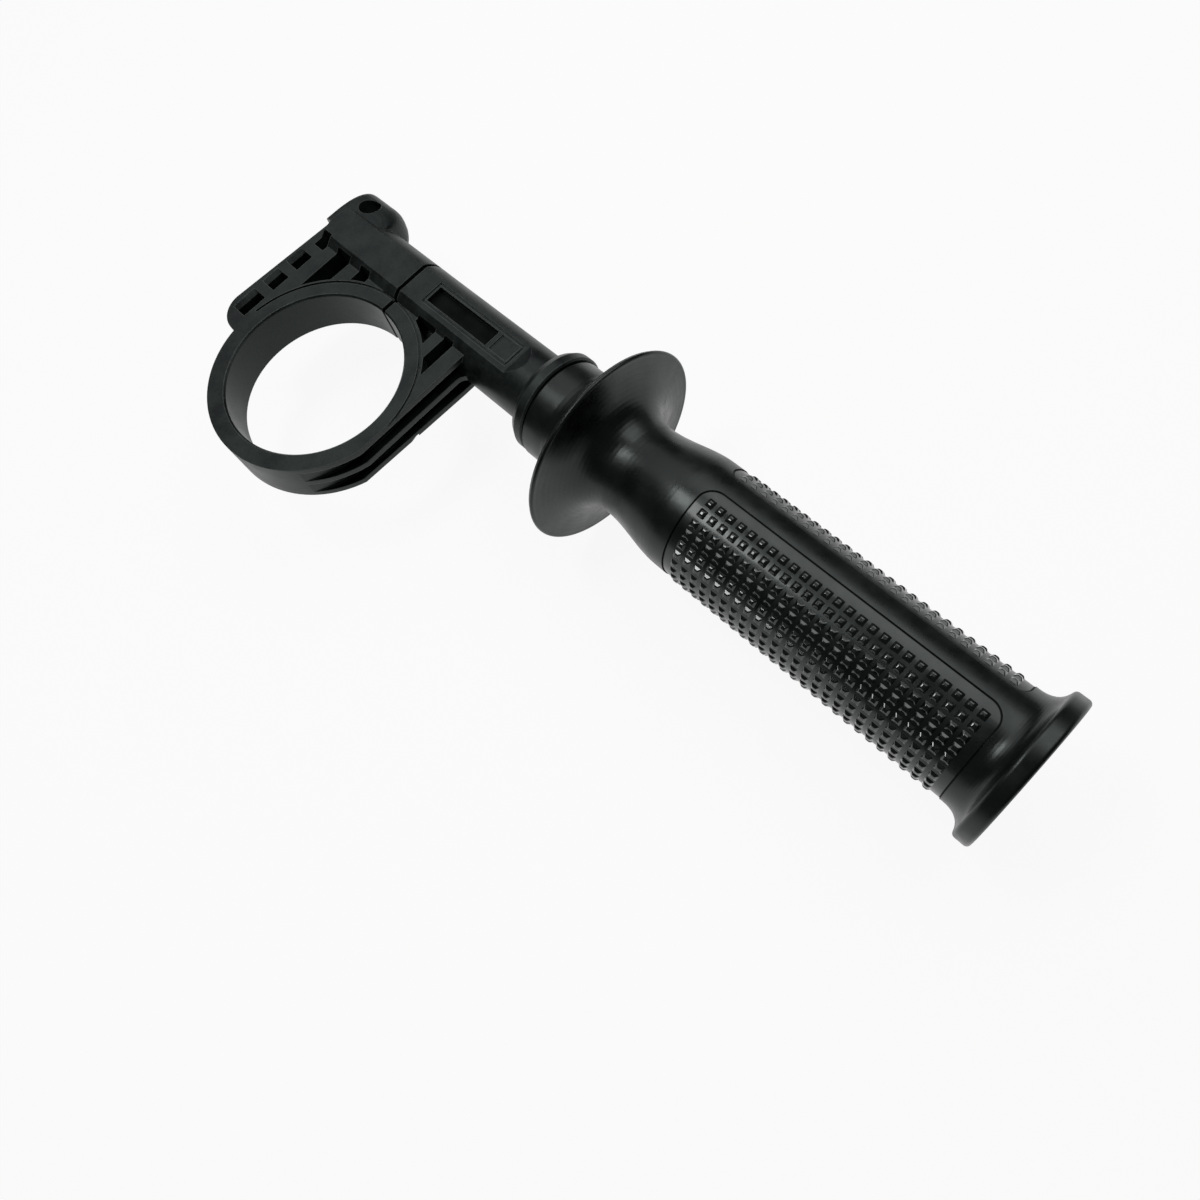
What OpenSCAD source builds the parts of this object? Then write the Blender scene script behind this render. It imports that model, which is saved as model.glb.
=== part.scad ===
// Side handle for a power tool: a split clamp ring on a ribbed arm, a barrel that
// carries a through bolt, and a grip with a hand guard that screws onto the bolt.
// The origin is the middle of the clamp's bore. X runs along the handle towards the
// end of the grip, Y from the bore to the handle's axis, and Z along the bore.

/* [Clamp ring] */
// Bore of the clamp ring, which closes on the tool's collar
bore_d = 58; // [46:0.5:64]
// Wall of the clamp ring
ring_wall = 5.9; // [5:0.1:8]
// Width of the clamp ring along its bore
ring_w = 15; // [13:0.5:17]
// Chamfer on the edges of the ring
ring_chamfer = 0.6; // [0.2:0.1:1]
// Gap of the split, which closes as the clamp is tightened
split_gap = 1.5; // [0.8:0.1:3]
// Radial width of the ring's plain face inside the ribs
rim_face = 5.2; // [4:0.1:5.2]
// Width of the fine grooves in the clamp's faces
line_w = 0.8; // [0.4:0.1:1]
// Depth of those grooves
line_depth = 0.8; // [0.3:0.1:1]

/* [Ribbed arm] */
// Distance from the ring's outer wall to the handle's axis
axis_rise = 7.2; // [5:0.1:10]
// How far the jaw's edge stands out beyond the ring
jaw_out = 8.8; // [8:0.1:12]
// How far the jaw's edge leans in on its way up to the boss
jaw_lean = 1.5; // [0:0.1:2]
// Radius of the jaw's lower corner
jaw_corner_r = 9; // [8:0.1:10]
// How far the centre of that corner stays inside the jaw's edge
jaw_corner_in = 8.4; // [7.5:0.1:9]
// Height of the centre of that corner
jaw_corner_y = 2.1; // [0:0.1:8]
// How far the strut's edge stays inside the ring's outer wall
strut_in = 1.1; // [0:0.1:1.5]
// Width of the strut's front flange
strut_flange = 5.3; // [4:0.1:6]
// How far the back flange's edge stays inside the front one's
strut_back_in = 0.8; // [0.5:0.1:2.5]
// Lean of the back flange's edge towards the barrel
strut_lean = 1.6; // [0:0.1:3.5]
// Thickness of the strut's front and back flanges
flange_t = 2; // [1.5:0.1:3]
// Thickness of the web in the middle of the arm
web_t = 2; // [1.5:0.1:3]
// Thickness of the thin walls round the pockets
thin_wall = 1.5; // [1:0.1:2]
// Ring wall left beside the pockets and the strut's channels
pocket_wall = 0.3; // [0.2:0.1:1.5]
// Width of the row of pockets along the jaw's edge
row_w = 6.2; // [5:0.1:7]
// Height of one pocket in that row
row_h = 6.6; // [5:0.1:8]
// Spacing of the pockets in that row
row_pitch = 10.2; // [9:0.1:11]
// Width of the slope that leads into those pockets from the jaw's edge
row_slope = 1.6; // [0.5:0.1:2.5]
// Drop of that slope
row_drop = 1.1; // [0.5:0.1:2]
// Width of the short pocket at the top of the row
top_pocket_w = 4.6; // [3:0.1:5]
// Height of the short pocket at the top of the row
top_pocket_h = 5.6; // [4:0.1:6.5]
// Width of the main rib of the jaw
main_rib = 5.9; // [4:0.1:7]
// Width of the jaw's large pocket
large_pocket_w = 6.7; // [5:0.1:8]
// Width of the rib between the jaw's large and small pockets
jaw_rib = 5.3; // [3:0.1:6]
// Width of the jaw's small pocket
small_pocket_w = 4.8; // [3:0.1:5]
// Width of the pocket beside the strut
strut_pocket_w = 4.2; // [3:0.1:5]
// Width of the rib between the two pockets beside the strut
strut_rib = 4.1; // [2:0.1:5]
// Width of the wide pocket under the barrel
wide_pocket_w = 8.4; // [5:0.1:9]

/* [Barrel and boss] */
// Diameter of the barrel beside the split
barrel_d = 22.6; // [22:0.1:26]
// Diameter of the barrel where it meets its collar
barrel_end_d = 22.9; // [22:0.1:26]
// How far the outside of the barrel and its collar is lifted above the bolt's axis
barrel_lift = 0.6; // [0:0.1:0.8]
// Distance from the bore's axis to the end of the barrel
barrel_len = 61; // [56:0.5:75]
// Diameter of the barrel's collar
collar_d = 32.8; // [29:0.2:36]
// Length of the collar with its cone
collar_len = 5; // [4:0.5:14]
// Length of the cone at the start of the collar
collar_cone = 2; // [1:0.5:3]
// Length of the label's field on the barrel's flat
label_len = 39.2; // [30:0.2:44]
// Width of the label's field
label_w = 8.7; // [7:0.1:10]
// Border left between the field's outline and its recess
label_border = 1.3; // [1:0.1:2]
// Length of the label's recess
label_recess_len = 27.4; // [15:0.2:28]
// Depth of the label's recess
label_recess = 1.8; // [0.5:0.1:2]
// Length of the boss along the handle
boss_len = 20.3; // [18:0.1:26]
// Height of the boss above the handle's axis
boss_rise = 18.3; // [17.5:0.1:20]
// Thickness of the boss along the bore's axis
boss_t = 19.6; // [17:0.1:22]
// Radius of the boss's corners at the end of the handle
boss_corner_r = 1.9; // [1:0.1:3]
// Radius of the boss's shoulder beside the barrel
shoulder_r = 8.3; // [6:0.1:12]
// Diameter of the hole for the depth rod
rod_d = 7.2; // [6:0.1:7.6]
// Distance from the jaw's edge to the rod hole's axis
rod_in = 8.4; // [7.4:0.1:11]
// Wall between the rod hole and the bolt hole
rod_wall = 3.7; // [3.2:0.1:4.2]

/* [Bolt, nut and washer] */
// Diameter of the clamping bolt
bolt_d = 8; // [6:0.5:9]
// Length of the bolt under its head
bolt_len = 130; // [126:1:145]
// Width of the hexagon head across its flats
head_af = 13; // [10:0.5:14]
// Thickness of the head
head_t = 5.3; // [4:0.1:6]
// Diametral clearance of the bolt in the clamp
bolt_clear = 0.5; // [0.2:0.1:1]
// Clearance round the head in its pocket
head_clear = 0.2; // [0.1:0.05:0.5]
// Diameter of the thrust washer
washer_d = 24; // [18:0.5:26]
// Thickness of the thrust washer
washer_t = 2; // [1:0.1:3]
// Diametral clearance of the washer on the bolt
washer_clear = 0.4; // [0.2:0.1:1]
// Width of the moulded-in nut across its flats
nut_af = 13; // [11:0.5:16]
// Length of the moulded-in nut
nut_len = 14; // [8:0.5:18]
// Diametral running clearance of the thread
thread_clear = 0.12; // [0.06:0.02:0.2]
// Gap left between faces that bear on each other
face_gap = 0.05; // [0.02:0.01:0.1]

/* [Grip] */
// Length of the grip from its nose to its end face
grip_len = 162.1; // [150:0.5:185]
// Diameter of the grip's nose
nose_d = 32.2; // [29:0.2:36]
// Length of the straight nose, up to the guard
nose_len = 8; // [6:0.5:12]
// Gap between the barrel's collar and the nose
seam_gap = 0.5; // [0.3:0.1:1]
// Diameter of the hand guard
guard_d = 63; // [54:0.5:72]
// Distance from the nose to the guard's rim
guard_x = 20.8; // [18:0.1:26]
// Thickness of the guard's rim
guard_t = 1.4; // [1.4:0.1:4]
// Diameter of the neck behind the guard
neck_d = 29.6; // [27:0.1:32]
// Distance from the nose to the middle of the neck
neck_x = 33.5; // [31:0.5:40]
// Diameter of the grip
grip_d = 35.4; // [33:0.1:39]
// Length of the swelling from the neck to the full grip
swell_len = 21; // [15:0.5:24]
// Diameter of the disc at the end of the grip
end_d = 45.2; // [42:0.2:52]
// Thickness of the end disc
end_t = 5; // [3:0.5:8]
// Length of the flare before the end disc
flare_len = 6; // [4:0.5:10]
// Distance from the nose to the textured panels
panel_x = 58.4; // [55:0.5:64]
// Length of the textured panels
panel_len = 91.7; // [80:0.1:93]
// Depth of the textured panels below the smooth bands
panel_depth = 0.25; // [0.1:0.05:0.6]
// Radius of the corners of the panels
panel_corner_r = 5; // [2:0.5:7]
// Angle of each smooth band between the panels
band_deg = 20.7; // [15:0.1:40]
// Turn of the first smooth band about the grip, from the label towards the boss
band_turn = 21.6; // [0:0.2:90]

/* [Hidden] */

$fn = 96;
eps = 0.01;
plastic = [0.12, 0.13, 0.13];
grip_black = [0.07, 0.08, 0.08];
steel = [0.62, 0.63, 0.64];

bore_r = bore_d / 2;
ring_r = bore_r + ring_wall;
half_w = ring_w / 2;
axis_y = ring_r + axis_rise;
big = 4 * ring_r;

jaw_x = -(ring_r + jaw_out);
strut_x = ring_r - strut_in;
split_x = 0.3;
jaw_end = split_x - split_gap / 2;
barrel_start = split_x + split_gap / 2;

row_x = jaw_x + thin_wall;
large_x = row_x + row_w + main_rib;
small_x = large_x + large_pocket_w + jaw_rib;
strut_pocket_x = strut_x - strut_flange - strut_pocket_w;
wide_x = strut_pocket_x - strut_rib - wide_pocket_w;
pocket_top = axis_y - 7;
row_top = axis_y - 4.4;
row_count = 3;
channel_x = strut_x - strut_flange + thin_wall;
web_fillet_r = 3.4;
run_out_y = -ring_wall * 2;

barrel_r = barrel_d / 2;
barrel_end_r = barrel_end_d / 2;
barrel_end_x = barrel_len;
collar_r = collar_d / 2;
collar_end_x = barrel_end_x + collar_len;
flat_z = boss_t / 2;
flat_run_out = 4.5;
label_x = barrel_start + 8.4;
label_y = axis_y + 0.9;
label_gap = 1.6;
label_step = 0.5;

boss_x1 = jaw_x + 0.3;
boss_x2 = boss_x1 + boss_len;
boss_fullness = 2.6;
barrel_x1 = boss_x1 + 1.4;
barrel_chamfer = 3.1;

bolt_r = bolt_d / 2;
bolt_hole_r = bolt_r + bolt_clear / 2;
pocket_depth = head_t + 0.9;
pocket_floor_x = boss_x1 + pocket_depth;
head_x = pocket_floor_x - face_gap;
rod_x = jaw_x + rod_in;
rod_y = axis_y + bolt_hole_r + rod_wall + rod_d / 2;

washer_x = collar_end_x + face_gap;
nose_x = collar_end_x + seam_gap;
washer_seat_x = washer_x + washer_t + face_gap;
washer_seat_r = washer_d / 2 + 0.3;
nut_x = washer_seat_x + 4;
core_bore_r = bolt_r + bolt_clear / 2;
core_end_x = head_x + bolt_len + 6;

// Across-corner radius of a hexagon with the given width across its flats
function hex_r(af) = af / 2 / cos(30);

// Points of an arc about the point c
function arc(c, r, a0, a1, n = 8) =
    [for (i = [0 : n]) let (a = a0 + (a1 - a0) * i / n) c + r * [cos(a), sin(a)]];

// Points of a smooth curve from a to c that leaves a and reaches c towards b
function bend(a, b, c, n = 10) =
    [for (i = [0 : n]) let (t = i / n)
        (1 - t) * (1 - t) * a + 2 * t * (1 - t) * b + t * t * c];

// Half of a smooth S from [x0, y0] to [x1, y1], level at both ends
function ease(x0, y0, x1, y1, n = 10) =
    [for (i = [0 : n]) let (t = i / n)
        [x0 + (x1 - x0) * t, y0 + (y1 - y0) * (3 * t * t - 2 * t * t * t)]];

// Turns a profile of [distance along the handle, radius] about the handle's axis
module turned(points) {
    translate([0, axis_y, 0])
        rotate([0, 90, 0])
            rotate_extrude()
                polygon([for (p = points) [p[1], p[0]]]);
}

// A cylinder along the handle's axis
module rod(x, r, len, sides = 0) {
    translate([x, axis_y, 0])
        rotate([0, 90, 0])
            if (sides > 0) cylinder(r = r, h = len, $fn = sides);
            else cylinder(r = r, h = len);
}

// A flat shape made into a plate of the given thickness about the middle plane
module plate(t) {
    translate([0, 0, -t / 2])
        linear_extrude(height = t)
            children();
}

module arm_outline() {
    difference() {
        circle(r = ring_r);
        translate([strut_x, run_out_y])
            square(big);
    }
    translate([jaw_x + jaw_corner_in, jaw_corner_y])
        circle(r = jaw_corner_r);
    polygon([[jaw_x + jaw_corner_in - jaw_corner_r, jaw_corner_y],
             [jaw_x + jaw_lean, axis_y], [strut_x, axis_y], [strut_x, 0], [0, 0]]);
}

// A pocket from x upwards, between the ring's wall and the barrel or boss
module arm_pocket(x, w, top) {
    difference() {
        translate([x, 0])
            square([w, top]);
        circle(r = ring_r + pocket_wall);
    }
}

// Bottom and height of each long pocket in the row along the jaw's edge, the last
// of which reaches round the jaw's corner
row_heights = [for (i = [1 : row_count]) i == row_count ? row_h + 2.4 : row_h];
row_bottoms = [for (i = [1 : row_count]) row_top + 0.7 - i * row_pitch - row_heights[i - 1]];

// The row of pockets along the jaw's edge, with a short one under the boss
module jaw_row() {
    translate([row_x + row_w + 0.9 - top_pocket_w, row_top - top_pocket_h])
        square([top_pocket_w, top_pocket_h]);
    for (i = [0 : row_count - 1])
        difference() {
            translate([row_x + row_slope, row_bottoms[i]])
                square([row_w - row_slope, row_heights[i]]);
            circle(r = ring_r + pocket_wall);
        }
}

// The slopes that lead into the long pockets from the jaw's edge
module row_slopes() {
    for (i = [0 : row_count - 1])
        translate([row_x, row_bottoms[i] + row_heights[i], half_w])
            rotate([90, 0, 0])
                linear_extrude(height = row_heights[i])
                    polygon([[0, 0], [row_slope + eps, -row_drop], [row_slope + eps, 1],
                             [0, 1]]);
}

module pockets() {
    arm_pocket(large_x, large_pocket_w, pocket_top + 0.9);
    arm_pocket(small_x, small_pocket_w, pocket_top + 0.9);
    arm_pocket(strut_pocket_x, strut_pocket_w, pocket_top);
    arm_pocket(wide_x, wide_pocket_w, pocket_top);
    jaw_row();
}

// The channels of the strut, which run out along the ring's lower side
module channel_outline() {
    difference() {
        translate([0, -ring_r])
            square([big, ring_r + axis_y]);
        circle(r = bore_r + ring_wall * 0.4);
        translate([0, -ring_wall * 1.2])
            circle(r = bore_r + ring_wall * 0.18);
        square([channel_x, axis_y]);
    }
}

// The web's edge lies level with the front flange and curves out under the barrel
module web_cut() {
    top = axis_y + barrel_lift - barrel_r + 0.5;
    translate([strut_x, run_out_y])
        square([big, top - web_fillet_r - run_out_y]);
    translate([strut_x + web_fillet_r, 0])
        square([big, top]);
    translate([strut_x + web_fillet_r, top - web_fillet_r])
        circle(r = web_fillet_r);
}

// What lies outside the leaning edge of the strut's back flange
module back_cut() {
    translate([strut_x - strut_back_in, 0])
        rotate(-strut_lean)
            translate([0, 2 * run_out_y])
                square(big);
}

module arm() {
    difference() {
        union() {
            plate(ring_w) arm_outline();
            plate(web_t)
                translate([strut_x - 1, 0])
                    square([web_fillet_r, axis_y]);
        }
        for (side = [0, 1])
            mirror([0, 0, side])
                translate([0, 0, web_t / 2])
                    linear_extrude(height = half_w - flange_t - web_t / 2)
                        channel_outline();
        plate(web_t + 2 * eps)
            difference() {
                web_cut();
                circle(r = bore_r + ring_wall * 0.65);
            }
        translate([0, 0, -ring_w])
            linear_extrude(height = ring_w - web_t / 2)
                back_cut();
    }
}

// A thin cross-section of the boss, a full-sided arch that rises from the axis
module boss_slice(x, rise, inset = 0) {
    half_t = boss_t / 2 - 0.1 - inset;
    power = 2 / boss_fullness;
    arch = [for (i = [0 : 24]) let (a = 7.5 * i)
        [rise * pow(sin(a), power), half_t * sign(cos(a)) * pow(abs(cos(a)), power)]];
    translate([x, axis_y, 0])
        rotate([90, 0, 90])
            linear_extrude(height = eps)
                polygon(concat([[-1, half_t]], arch, [[-1, -half_t]]));
}

// The boss is a rounded hump over the end of the barrel
module boss() {
    hull() {
        for (a = [0 : 30 : 90]) {
            in = boss_corner_r * (1 - cos(a));
            boss_slice(boss_x1 + boss_corner_r * (1 - sin(a)), boss_rise - 0.3 * in, in);
        }
        for (a = [0 : 10 : 80])
            boss_slice(boss_x2 - shoulder_r * (1 - sin(a)),
                       boss_rise - shoulder_r * (1 - cos(a)));
    }
}

module barrel() {
    translate([0, barrel_lift, 0])
        turned([[barrel_x1, 0], [barrel_x1, barrel_r - barrel_chamfer],
                [barrel_x1 + barrel_chamfer, barrel_r], [barrel_start, barrel_r],
                [barrel_end_x, barrel_end_r], [barrel_end_x, collar_r - 1.2],
                [barrel_end_x + collar_cone, collar_r], [collar_end_x - 0.5, collar_r],
                [collar_end_x, collar_r - 0.5], [collar_end_x, 0]]);
}

// The barrel is flat in front and behind, from the boss to past the label's field
module flat_cut() {
    x0 = boss_x1 - 1;
    x1 = label_x + label_len + 1;
    height = 2 * barrel_r - flat_z;
    translate([0, axis_y + big / 2, 0])
        rotate([90, 0, 0])
            linear_extrude(height = big)
                polygon([[x0, flat_z], [x1, flat_z], [x1 + flat_run_out, barrel_end_r],
                         [x1 + flat_run_out, height], [x0, height]]);
}

// A square-cornered cut into the front flat, centred on the label's field
module label_cut(x, len, w, depth) {
    translate([x, label_y - w / 2, flat_z - depth])
        cube([len, w, depth + 1]);
}

// The label's field: a groove round it, a deep recess and a shallow one, left bare
module label_field() {
    inner_w = label_w - 2 * line_w;
    recess_w = label_w - 2 * label_border;
    recess_x = label_x + label_border;
    shallow_x = recess_x + label_recess_len + label_gap;
    difference() {
        label_cut(label_x, label_len, label_w, label_step);
        translate([label_x + line_w, label_y - inner_w / 2, 0])
            cube([label_len - 2 * line_w, inner_w, flat_z + 2]);
    }
    label_cut(recess_x, label_recess_len, recess_w, label_recess);
    label_cut(shallow_x, label_x + label_len - label_border - shallow_x, recess_w,
              label_step);
}

module bore() {
    translate([0, 0, -ring_w])
        cylinder(r = bore_r, h = 2 * ring_w, $fn = 180);
    for (side = [0, 1])
        mirror([0, 0, side])
            translate([0, 0, half_w - ring_chamfer])
                cylinder(r1 = bore_r, r2 = bore_r + 2 * ring_chamfer,
                         h = 2 * ring_chamfer, $fn = 180);
}

// The fine groove in both faces between the ring and the ribs
module rim_line() {
    intersection() {
        for (side = [0, 1])
            mirror([0, 0, side])
                rotate_extrude($fn = 180)
                    translate([bore_r + rim_face - line_w / 2, half_w - line_depth])
                        square([line_w, line_depth + 0.5]);
        translate([-big / 2, 2.5, -big / 2])
            cube(big);
    }
}

module clamp_body() {
    color(plastic)
        difference() {
            union() {
                arm();
                boss();
                barrel();
            }
            for (side = [0, 1])
                mirror([0, 0, side]) {
                    translate([0, 0, web_t / 2])
                        linear_extrude(height = ring_w)
                            pockets();
                    row_slopes();
                    flat_cut();
                }
            label_field();
            bore();
            rim_line();
            rod(jaw_x - 1, bolt_hole_r, collar_end_x - jaw_x + 2);
            rod(jaw_x - 1, hex_r(head_af) + head_clear, pocket_floor_x - jaw_x + 1, 6);
            translate([rod_x, rod_y, -boss_t])
                cylinder(d = rod_d, h = 2 * boss_t);
            translate([jaw_end, 0, -big / 2])
                cube([split_gap, big, big]);
        }
}

module clamp_bolt() {
    color(steel) {
        rod(head_x - head_t, hex_r(head_af), head_t, 6);
        turned([[head_x - eps, 0], [head_x - eps, bolt_r],
                [head_x + bolt_len - 1, bolt_r], [head_x + bolt_len, bolt_r - 1],
                [head_x + bolt_len, 0]]);
    }
}

module thrust_washer() {
    r = washer_d / 2;
    hole_r = bolt_r + washer_clear / 2;
    color(steel)
        turned([[washer_x, hole_r], [washer_x, r - 0.3], [washer_x + 0.3, r],
                [washer_x + washer_t - 0.3, r], [washer_x + washer_t, r - 0.3],
                [washer_x + washer_t, hole_r]]);
}

module insert_nut() {
    color(steel)
        difference() {
            rod(nut_x, hex_r(nut_af), nut_len, 6);
            rod(nut_x - 1, bolt_r + thread_clear / 2, nut_len + 2);
        }
}

// Outline of the grip from its nose to its end face
function grip_profile() =
    let (rim_x = nose_x + guard_x, rim_r = guard_d / 2, lip = guard_t / 2,
         neck = nose_x + neck_x, full = neck + swell_len,
         end = nose_x + grip_len, disc = end - end_t,
         nose_r = nose_d / 2, neck_r = neck_d / 2, grip_r = grip_d / 2,
         end_r = end_d / 2, edge = 1.2)
    concat(
        [[nose_x, 0], [nose_x, nose_r - 0.6], [nose_x + 0.6, nose_r],
         [nose_x + nose_len - 3, nose_r]],
        bend([nose_x + nose_len, nose_r], [rim_x - lip - 4, nose_r + 0.5],
             [rim_x - lip - 0.5, rim_r - lip]),
        arc([rim_x, rim_r - lip], lip, 160, 10),
        bend([rim_x + lip, rim_r - lip - 0.8], [rim_x + lip + 1, neck_r + 0.6],
             [neck - 1, neck_r], 14),
        ease(neck, neck_r, full, grip_r, 14),
        bend([disc - flare_len, grip_r], [disc - 1, grip_r], [disc, end_r - 1]),
        arc([disc + edge, end_r - edge], edge, 150, 90, 4),
        arc([end - edge, end_r - edge], edge, 90, 0, 6),
        [[end, 0]]);

// One textured panel: a shallow recess with rounded corners, ready for its pips
module panel_recess() {
    r = grip_d / 2;
    sweep = 180 - band_deg;
    corner_in = panel_corner_r - 0.05;
    corner_deg = asin(corner_in / r);
    x0 = nose_x + panel_x;
    translate([0, axis_y, 0])
        difference() {
            rotate([0, 90, 0])
                rotate_extrude(angle = sweep)
                    translate([r - panel_depth, x0])
                        square([2, panel_len]);
            for (end = [0, 1], side = [0, 1])
                rotate([side == 0 ? corner_deg : sweep - corner_deg, 0, 0])
                    translate([x0 + (end == 0 ? corner_in
                                              : panel_len - corner_in), 0, 0])
                        mirror([end == 0 ? 1 : 0, 0, 0])
                            mirror([0, side == 0 ? 1 : 0, 0])
                                panel_corner(r);
        }
}

// What stays of the smooth grip outside one rounded corner of a panel
module panel_corner(r) {
    translate([0, 0, -r - 2])
        linear_extrude(height = 4)
            difference() {
                square(panel_corner_r + 1);
                circle(r = panel_corner_r, $fn = 48);
            }
}

module grip() {
    color(grip_black)
        difference() {
            turned(grip_profile());
            rod(nose_x - 1, washer_seat_r, washer_seat_x - nose_x + 1);
            rod(nose_x - 1, core_bore_r, core_end_x - nose_x + 1);
            rod(nut_x - face_gap, hex_r(nut_af) + face_gap, nut_len + 2 * face_gap, 6);
            for (half = [0, 180])
                translate([0, axis_y, 0])
                    rotate([half + band_deg / 2 - band_turn, 0, 0])
                        translate([0, -axis_y, 0])
                            panel_recess();
        }
}

clamp_body();
clamp_bolt();
thrust_washer();
insert_nut();
grip();
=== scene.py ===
import bpy
import math
from mathutils import Matrix, Vector


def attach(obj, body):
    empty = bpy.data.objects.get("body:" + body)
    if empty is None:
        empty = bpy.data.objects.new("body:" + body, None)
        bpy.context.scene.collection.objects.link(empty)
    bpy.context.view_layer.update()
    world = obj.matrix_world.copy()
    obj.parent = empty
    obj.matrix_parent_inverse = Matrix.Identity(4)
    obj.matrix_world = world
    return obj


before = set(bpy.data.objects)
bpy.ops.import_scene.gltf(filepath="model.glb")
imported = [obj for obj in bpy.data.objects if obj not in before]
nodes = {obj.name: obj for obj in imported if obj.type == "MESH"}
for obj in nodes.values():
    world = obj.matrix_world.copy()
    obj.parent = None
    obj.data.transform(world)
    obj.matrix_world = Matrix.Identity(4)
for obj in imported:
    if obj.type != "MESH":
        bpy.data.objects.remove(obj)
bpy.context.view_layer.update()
mm = 0.001
bpy.ops.object.select_all(action="DESELECT")


# Studio. The handle lies over a plain sheet that is white to the camera and in
# reflections and keeps a faint shadow. A small soft box hangs over the ring, a wide
# one over the back, and a dimmer one beyond the clamp.
bpy.ops.object.camera_add()
camera = bpy.context.object
camera.name = "photo_camera"
camera.data.sensor_width = 36
camera.data.lens = 30.39
camera.data.clip_start = 0.01
camera.data.clip_end = 20
camera.matrix_world = Matrix((
    (0.69859, -0.60729, 0.37838, 222.81 * mm),
    (0.69634, 0.69865, -0.16433, -38.95 * mm),
    (-0.16456, 0.37828, 0.91095, 250.90 * mm),
    (0, 0, 0, 1)))
bpy.context.scene.camera = camera
bpy.context.scene.view_settings.view_transform = "Standard"


class Signal:
    """An output of a shader node, so that a finish can be written as sums."""

    def __init__(self, tree, socket):
        self.tree = tree
        self.socket = socket

    def node(self, kind, settings=(), values=(), output=0):
        made = self.tree.nodes.new(kind)
        for name, value in dict(settings).items():
            setattr(made, name, value)
        for name, value in dict(values).items():
            if isinstance(value, Signal):
                self.tree.links.new(value.socket, made.inputs[name])
            else:
                made.inputs[name].default_value = value
        return Signal(self.tree, made.outputs[output])

    def sum_of(self, operation, first, second):
        return self.node("ShaderNodeMath", {"operation": operation}, {0: first, 1: second})

    def __add__(self, other):
        return self.sum_of("ADD", self, other)

    __radd__ = __add__

    def __sub__(self, other):
        return self.sum_of("SUBTRACT", self, other)

    def __rsub__(self, other):
        return self.sum_of("SUBTRACT", other, self)

    def __mul__(self, other):
        return self.sum_of("MULTIPLY", self, other)

    __rmul__ = __mul__


def start_finish(name):
    """A new material without nodes, and a signal that carries the Object coordinates."""
    made = bpy.data.materials.new(name)
    made.use_nodes = True
    made.node_tree.nodes.clear()
    coordinates = made.node_tree.nodes.new("ShaderNodeTexCoord")
    return made, Signal(made.node_tree, coordinates.outputs["Object"])


def close_finish(shader):
    """Joins a shader to the output of its own material."""
    kind = "ShaderNodeOutputMaterial"
    shader.tree.links.new(shader.socket, shader.tree.nodes.new(kind).inputs["Surface"])


floor_z = -31.6 * mm
floor_middle_y = 50 * mm
floor_span = (1200 * mm, 900 * mm, 1)
sheet_glow = 0.92
air_level = 0.06
bpy.ops.mesh.primitive_plane_add(size=1, location=(0, floor_middle_y, floor_z),
                                 scale=floor_span)
floor = bpy.context.object
floor.name = "studio_floor"
bpy.ops.object.transform_apply(location=True, rotation=True, scale=True)
sheet_paint, place = start_finish("white_sheet")
rays = sheet_paint.node_tree.nodes.new("ShaderNodeLightPath")
seen_white = (Signal(sheet_paint.node_tree, rays.outputs["Is Camera Ray"])
              + Signal(sheet_paint.node_tree, rays.outputs["Is Glossy Ray"])
              + Signal(sheet_paint.node_tree, rays.outputs["Is Transmission Ray"]))
paper = place.node("ShaderNodeBsdfDiffuse", {}, {"Color": (0.8, 0.8, 0.8, 1)})
glow = place.node("ShaderNodeEmission", {}, {"Color": (1, 1, 1, 1), "Strength": 1.0})
close_finish(place.node("ShaderNodeMixShader", {},
                        {0: seen_white * sheet_glow, 1: paper, 2: glow}))
floor.data.materials.append(sheet_paint)

world = bpy.data.worlds.new("studio_air")
bpy.context.scene.world = world
world.use_nodes = True
world.node_tree.nodes.clear()
sky = world.node_tree.nodes.new("ShaderNodeBackground")
sky.inputs["Color"].default_value = (1, 1, 1, 1)
sky.inputs["Strength"].default_value = air_level
world.node_tree.links.new(
    sky.outputs["Background"],
    world.node_tree.nodes.new("ShaderNodeOutputWorld").inputs["Surface"])


def hang_light(name, place_mm, aim_mm, size_mm, watts):
    """A rectangular soft box at a place, turned to face a point of the handle."""
    bpy.ops.object.light_add(type="AREA", location=Vector(place_mm) * mm)
    lamp = bpy.context.object
    lamp.name = name
    lamp.data.shape = "RECTANGLE"
    lamp.data.size = size_mm[0] * mm
    lamp.data.size_y = size_mm[1] * mm
    lamp.data.energy = watts
    toward = (Vector(aim_mm) - Vector(place_mm)).normalized()
    lamp.rotation_euler = toward.to_track_quat("-Z", "Y").to_euler()


hang_light("key_box", (-140, -95, 660), (90, 20, 0), (260, 170), 1.6)
hang_light("back_box", (110, 460, 640), (90, 30, 0), (600, 500), 2.1)
hang_light("clamp_box", (-480, 290, 640), (60, 30, 0), (700, 600), 1.1)


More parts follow.
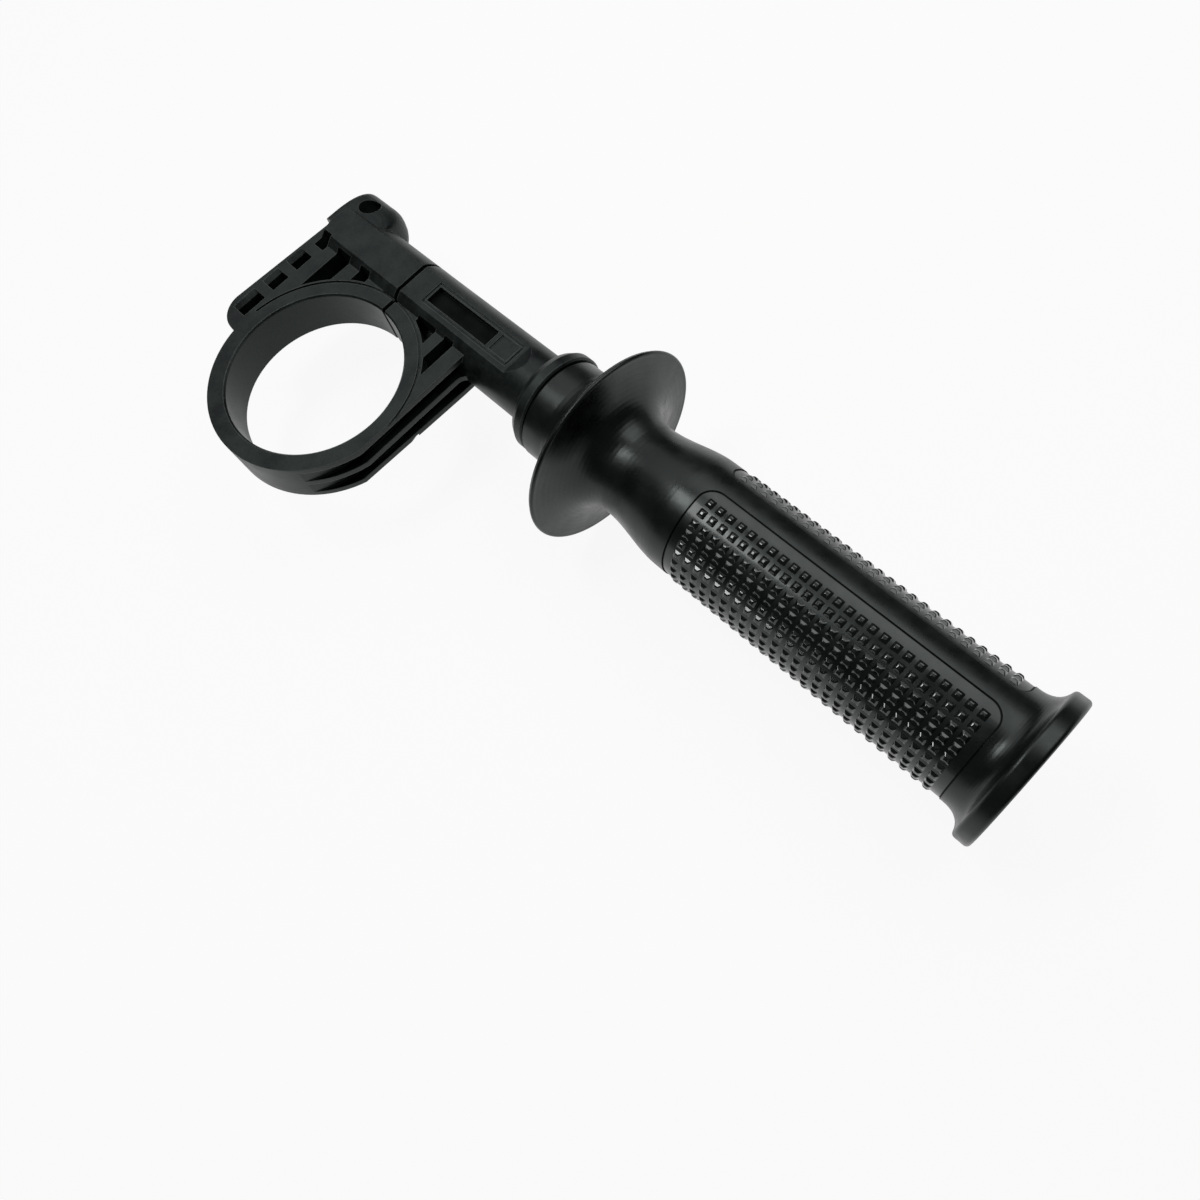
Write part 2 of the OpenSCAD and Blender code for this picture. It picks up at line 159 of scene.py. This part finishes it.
# Clamp moulding: ring, ribbed arm, boss and barrel in one piece of black nylon filled
# with glass. It is satin, finely grained and faintly cloudy. Its edges are painted paler,
# partly as rubbed wear and partly as a painted edge highlight, and the floor of the
# label's recess is made matte near-black.
clamp_finish, place = start_finish("satin_black_nylon")
clouds = place.node("ShaderNodeTexNoise", {}, {"Vector": place, "Scale": 110.0, "Detail": 5.0,
                                               "Roughness": 0.62})
speckle = place.node("ShaderNodeTexNoise", {}, {"Vector": place, "Scale": 2200.0,
                                                "Detail": 2.0})
grain = place.node("ShaderNodeTexNoise", {}, {"Vector": place, "Scale": 1500.0,
                                              "Detail": 3.0, "Roughness": 0.7})
rounded = place.node("ShaderNodeBevel", {"samples": 6}, {"Radius": 0.4 * mm})
flat = place.node("ShaderNodeNewGeometry", {}, {}, output="True Normal")
facing = place.node("ShaderNodeVectorMath", {"operation": "DOT_PRODUCT"},
                    {0: rounded, 1: flat}, output="Value")
# Paler rim along every edge, found from the bevel normal: partly rubbed wear, partly a
# painted edge highlight.
rub_and_edge_highlight = place.node("ShaderNodeMapRange", {"clamp": True},
                 {"Value": (1 - facing) * (clouds + 0.4), "From Min": 0.01, "From Max": 0.11})
shade = place.node("ShaderNodeMapRange", {"clamp": True},
                   {"Value": clouds * 0.7 + speckle * 0.3, "From Min": 0.38,
                    "From Max": 0.62})
body_colour = place.node("ShaderNodeMix", {"data_type": "RGBA"},
                         {0: shade, 6: (0.0015, 0.0018, 0.0024, 1),
                          7: (0.017, 0.0225, 0.0205, 1)}, output=2)
worn_and_highlit_colour = place.node("ShaderNodeMix", {"data_type": "RGBA"},
                         {0: rub_and_edge_highlight * 0.85, 6: body_colour, 7: (0.13, 0.145, 0.14, 1)},
                         output=2)


def between(value, low_mm, high_mm):
    """One where a coordinate lies between two places, with a soft edge, else zero."""
    rise = value.node("ShaderNodeMapRange", {"clamp": True},
                      {"Value": value, "From Min": (low_mm - 0.1) * mm,
                       "From Max": (low_mm + 0.1) * mm})
    fall = value.node("ShaderNodeMapRange", {"clamp": True},
                      {"Value": value, "From Min": (high_mm - 0.1) * mm,
                       "From Max": (high_mm + 0.1) * mm})
    return rise * (1 - fall)


def split(vector):
    """The parts of a vector along X, Y and Z."""
    return [vector.node("ShaderNodeSeparateXYZ", {}, {"Vector": vector}, output=axis)
            for axis in "XYZ"]


# The floor of the label's recess is blended into a matte near-black with no reflection.
recess_x_mm = (10.6, 38.3)
recess_y_mm = (39.8, 46.2)
recess_floor_z_mm = (7.6, 8.3)
along, across, height = split(place)
darkened_recess_mask = (between(along, *recess_x_mm) * between(across, *recess_y_mm)
          * between(height, *recess_floor_z_mm))
relief = place.node("ShaderNodeBump", {}, {"Strength": 0.35, "Distance": 0.06 * mm,
                                           "Height": grain * 0.7 + clouds * 0.3,
                                           "Normal": rounded})
satin = place.node("ShaderNodeBsdfPrincipled", {}, {
    "Base Color": worn_and_highlit_colour, "Roughness": 0.38 + (clouds - 0.5) * 0.3 + rub_and_edge_highlight * 0.06,
    "Normal": relief, "IOR": 1.45, "Specular IOR Level": 0.34,
    "Specular Tint": (0.86, 1, 0.96, 1)})
darkened_recess_floor = place.node("ShaderNodeBsdfDiffuse", {}, {"Color": (0.003, 0.0032, 0.0032, 1)})
close_finish(place.node("ShaderNodeMixShader", {},
                        {0: darkened_recess_mask * (0.55 + clouds * 0.6), 1: satin, 2: darkened_recess_floor}))
nodes["clamp_body"].data.materials[0] = clamp_finish


# Clamping bolt, thrust washer and moulded-in nut: steel, cold formed and bright zinc
# plated. The plating is softly cloudy, with fine turning marks round the axis.
axis_y = 42.1 * mm
zinc_finish, place = start_finish("bright_zinc_steel")
bolt_line = place.node("ShaderNodeMapping", {}, {"Vector": place,
                                                 "Location": (0, -axis_y, 0)})
spangle = place.node("ShaderNodeTexNoise", {}, {"Vector": bolt_line, "Scale": 260.0,
                                                "Detail": 3.0, "Roughness": 0.55})
stretched = place.node("ShaderNodeMapping", {}, {"Vector": bolt_line, "Scale": (14, 1, 1)})
turning = place.node("ShaderNodeTexNoise", {}, {"Vector": stretched, "Scale": 330.0,
                                                "Detail": 2.0})
tint = place.node("ShaderNodeMapRange", {"clamp": True},
                  {"Value": spangle, "From Min": 0.35, "From Max": 0.65})
plate_colour = place.node("ShaderNodeMix", {"data_type": "RGBA"},
                          {0: tint, 6: (0.50, 0.51, 0.53, 1), 7: (0.63, 0.63, 0.62, 1)},
                          output=2)
edge = place.node("ShaderNodeBevel", {"samples": 6}, {"Radius": 0.3 * mm})
marks = place.node("ShaderNodeBump", {}, {"Strength": 0.25, "Distance": 0.03 * mm,
                                          "Height": turning * 0.6 + spangle * 0.4,
                                          "Normal": edge})
close_finish(place.node("ShaderNodeBsdfPrincipled", {}, {
    "Base Color": plate_colour, "Roughness": 0.24 + spangle * 0.22, "Metallic": 1.0,
    "Normal": marks}))
for name in ("clamp_bolt", "thrust_washer", "insert_nut"):
    nodes[name].data.materials[0] = zinc_finish


# Grip: nose, hand guard, neck, handle and end disc in one moulding of black plastic
# with a satin gloss, slow waves of shrinkage and hair-fine scratches along it. The two
# panels for the pips are polished brighter, inside a thin near-black line of painted shade.
grip_finish, place = start_finish("satin_black_plastic")
waves = place.node("ShaderNodeTexNoise", {}, {"Vector": place, "Scale": 45.0, "Detail": 2.0})
lengthwise = place.node("ShaderNodeMapping", {}, {"Vector": place, "Scale": (0.12, 1, 1)})
hairlines = place.node("ShaderNodeTexNoise", {}, {"Vector": lengthwise, "Scale": 2600.0,
                                                  "Detail": 2.0})
smudge = place.node("ShaderNodeTexNoise", {}, {"Vector": place, "Scale": 130.0,
                                               "Detail": 5.0, "Roughness": 0.65})
film = place.node("ShaderNodeMapRange", {"clamp": True},
                  {"Value": smudge, "From Min": 0.38, "From Max": 0.66})
grip_colour = place.node("ShaderNodeMix", {"data_type": "RGBA"},
                         {0: film, 6: (0.003, 0.0036, 0.0036, 1),
                          7: (0.006, 0.0072, 0.007, 1)}, output=2)
softened = place.node("ShaderNodeBevel", {"samples": 6}, {"Radius": 0.3 * mm})
surface = place.node("ShaderNodeBump", {}, {"Strength": 0.3, "Distance": 0.25 * mm,
                                            "Height": waves + hairlines * 0.02,
                                            "Normal": softened})
from_axis = place.node("ShaderNodeMapping", {}, {"Vector": place,
                                                 "Location": (0, -axis_y, 0)})
along, across, height = split(from_axis)
panel_start = 124.9 * mm
panel_len = 91.7 * mm
smooth_band_deg = 20.7
panel_half_turn = math.radians((180 - smooth_band_deg) / 2)
panel_middle = math.radians(-68.4)
panel_corner = 5 * mm
grip_r = 17.7 * mm
turned_by = place.sum_of("ARCTAN2", across, height)
off_middle = place.sum_of("PINGPONG", turned_by - panel_middle, math.pi / 2)
off_centre = place.sum_of("ABSOLUTE", along - (panel_start + panel_len / 2), 0)
beyond_side = off_middle * grip_r - (panel_half_turn * grip_r - panel_corner)
beyond_end = off_centre - (panel_len / 2 - panel_corner)
side_part = place.sum_of("MAXIMUM", beyond_side, 0)
end_part = place.sum_of("MAXIMUM", beyond_end, 0)
deeper = place.sum_of("MINIMUM", place.sum_of("MAXIMUM", beyond_side, beyond_end), 0)
corner_part = place.sum_of("SQRT", side_part * side_part + end_part * end_part, 0)
past_edge = corner_part + deeper - panel_corner
in_panel = place.node("ShaderNodeMapRange", {"clamp": True},
                      {"Value": past_edge, "From Min": -0.1 * mm, "From Max": 0.1 * mm,
                       "To Min": 1.0, "To Max": 0.0})
# A thin matte near-black line painted along the panels' border: painted shade in the crease
# of its step.
painted_shade_line_mask = place.node("ShaderNodeMapRange", {"clamp": True},
                       {"Value": place.sum_of("ABSOLUTE", past_edge + 0.05 * mm, 0),
                        "From Min": 0.16 * mm, "From Max": 0.3 * mm,
                        "To Min": 0.85, "To Max": 0.0})
satin = place.node("ShaderNodeBsdfPrincipled", {}, {
    "Base Color": grip_colour, "Roughness": 0.25 + film * 0.12 + hairlines * 0.04,
    "Coat Weight": in_panel * 0.2, "Coat Roughness": 0.12,
    "Normal": surface, "IOR": 1.45, "Specular Tint": (0.9, 1, 0.97, 1)})
painted_shade_line = place.node("ShaderNodeBsdfDiffuse", {}, {"Color": (0.002, 0.0022, 0.0022, 1)})
close_finish(place.node("ShaderNodeMixShader", {}, {0: painted_shade_line_mask, 1: satin, 2: painted_shade_line}))
nodes["grip"].data.materials[0] = grip_finish


# Pips of the two grip panels: small square pyramids with blunt tops, moulded with
# the grip in straight rows along and round it. One pip is shaped, then repeated
# along the handle and round its axis, 25 by 13 on each panel.
pip_pitch = 3.485 * mm
pip_foot = 2.9 * mm
pip_top = 1.1 * mm
pip_bevel = 0.24 * mm
pip_low_r = 17.2 * mm
pip_high_r = 18.05 * mm
first_pip_x = 128.85 * mm
row_turn = math.radians(11.15)
rows = 13
columns = 25


def raise_pips(name, first_row_deg):
    """One panel of pips, its first row at this angle from +Z towards +Y."""
    turn = math.radians(first_row_deg)
    middle_r = (pip_low_r + pip_high_r) / 2
    bpy.ops.object.select_all(action="DESELECT")
    bpy.ops.mesh.primitive_cube_add(
        size=1,
        location=(first_pip_x, axis_y + middle_r * math.sin(turn), middle_r * math.cos(turn)),
        rotation=(-turn, 0, 0), scale=(pip_foot, pip_foot, pip_high_r - pip_low_r))
    made = bpy.context.object
    made.name = name
    bpy.ops.object.mode_set(mode="EDIT")
    bpy.ops.mesh.select_all(action="DESELECT")
    bpy.ops.mesh.select_mode(type="FACE")
    bpy.ops.object.mode_set(mode="OBJECT")
    for face in made.data.polygons:
        face.select = face.normal.z > 0.9
    bpy.ops.object.mode_set(mode="EDIT")
    bpy.ops.transform.resize(value=(pip_top / pip_foot, pip_top / pip_foot, 1),
                             orient_type="LOCAL")
    bpy.ops.object.mode_set(mode="OBJECT")
    bpy.ops.object.transform_apply(location=False, rotation=False, scale=True)
    corners = made.data.vertices
    for edge in made.data.edges:
        edge.select = any(corners[index].co.z > 0 for index in edge.vertices)
    bpy.ops.object.mode_set(mode="EDIT")
    bpy.ops.mesh.select_mode(type="EDGE")
    bpy.ops.mesh.bevel(offset=pip_bevel, segments=2)
    bpy.ops.object.mode_set(mode="OBJECT")
    row = made.modifiers.new("row", "ARRAY")
    row.use_relative_offset = False
    row.use_constant_offset = True
    row.constant_offset_displace = (pip_pitch, 0, 0)
    row.count = columns
    bpy.ops.object.modifier_apply(modifier="row")
    bpy.ops.object.transform_apply(location=True, rotation=True, scale=True)
    bpy.ops.object.mode_set(mode="EDIT")
    bpy.ops.mesh.select_all(action="SELECT")
    bpy.ops.mesh.spin(steps=rows - 1, dupli=True, angle=-row_turn * (rows - 1),
                      center=(0, axis_y, 0), axis=(1, 0, 0))
    bpy.ops.mesh.select_all(action="SELECT")
    bpy.ops.mesh.normals_make_consistent(inside=False)
    bpy.ops.object.mode_set(mode="OBJECT")
    return made


pip_finish, place = start_finish("pip_black_plastic")
touch = place.node("ShaderNodeTexNoise", {}, {"Vector": place, "Scale": 150.0, "Detail": 5.0,
                                              "Roughness": 0.6})
fine = place.node("ShaderNodeTexNoise", {}, {"Vector": place, "Scale": 3200.0,
                                             "Detail": 2.0})
polish = place.node("ShaderNodeMapRange", {"clamp": True},
                    {"Value": touch, "From Min": 0.36, "From Max": 0.66})
pip_colour = place.node("ShaderNodeMix", {"data_type": "RGBA"},
                        {0: polish, 6: (0.0035, 0.0042, 0.0042, 1),
                         7: (0.007, 0.0082, 0.008, 1)}, output=2)
skin = place.node("ShaderNodeBump", {}, {"Strength": 0.25, "Distance": 0.03 * mm,
                                         "Height": fine})
close_finish(place.node("ShaderNodeBsdfPrincipled", {}, {
    "Base Color": pip_colour, "Roughness": 0.16 + polish * 0.1, "Normal": skin,
    "Coat Weight": 0.5, "Coat Roughness": 0.1,
    "IOR": 1.5, "Specular Tint": (0.92, 1, 0.98, 1)}))
for name, first_row_deg in (("pips_front", -2.8), ("pips_back", 177.2)):
    pips = raise_pips(name, first_row_deg)
    pips.data.materials.append(pip_finish)
    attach(pips, "grip")
